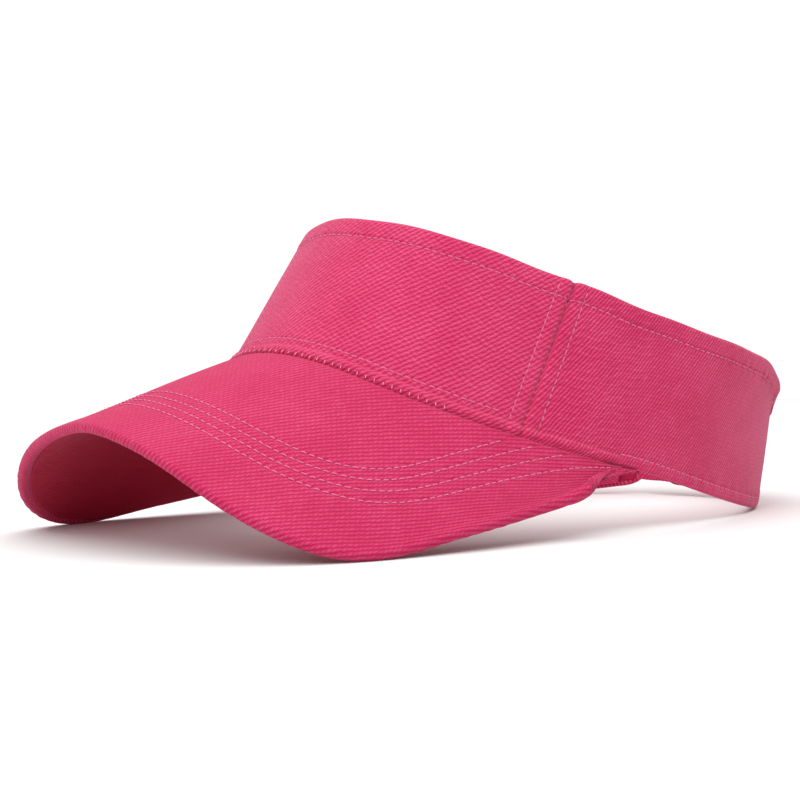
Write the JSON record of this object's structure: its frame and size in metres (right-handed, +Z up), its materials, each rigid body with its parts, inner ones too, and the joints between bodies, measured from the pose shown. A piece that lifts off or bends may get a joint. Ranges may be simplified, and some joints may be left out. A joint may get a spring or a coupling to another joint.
{
  "type": "sun visor",
  "caption": "Open-crown cloth sun visor: arched stiffened brim sewn to a panelled head band that closes at the back with hook-and-loop straps.",
  "frame": {"origin": "centre of the bounding box in X and Y, on the surface the visor stands on", "axes": "+Y from the brim toward the closure at the back, +X toward the wearer's left, +Z up"},
  "size_m": [0.1764, 0.2918, 0.1053],
  "materials": {
    "twill": "brushed cotton twill, hot pink",
    "lining": "fine plain-weave cotton, hot pink",
    "stiffener": "off-white fusible buckram",
    "sweatband": "soft cotton twill over thin foam",
    "tape": "folded cotton tape",
    "thread": "polyester sewing thread",
    "board": "white polyethylene board",
    "hook_tape": "moulded nylon hooks",
    "loop_tape": "brushed nylon loops"
  },
  "bodies": {
    "visor": {"front_panel": "twill", "front_interlining": "stiffener", "front_lining": "lining", "side_panel_left": "twill", "side_panel_right": "twill", "side_interlining_left": "stiffener", "side_interlining_right": "stiffener", "side_lining_left": "lining", "side_lining_right": "lining", "sweatband": "sweatband", "seam_tape_left": "tape", "seam_tape_right": "tape", "top_edge_stitching": "thread", "lower_edge_stitching": "thread", "side_seam_stitching": "thread", "brim_top_cover": "twill", "brim_board": "board", "brim_bottom_cover": "lining", "brim_stitching": "thread"},
    "hook_strap": {"hook_strap": "twill", "hook_tape": "hook_tape"},
    "loop_strap": {"loop_strap": "twill", "loop_tape": "loop_tape"}
  },
  "joints": [
    {"name": "hook_strap_peel", "type": "hinge", "parent": "visor", "child": "hook_strap", "pos_m": [0.0287, 0.13572, 0.02152], "axis": [0, -0.3156, -0.9489], "range_deg": [0, 130]},
    {"name": "loop_strap_fold", "type": "hinge", "parent": "visor", "child": "loop_strap", "pos_m": [-0.0287, 0.12847, 0.02393], "axis": [0, -0.3156, -0.9489], "range_deg": [0, 60]}
  ]
}
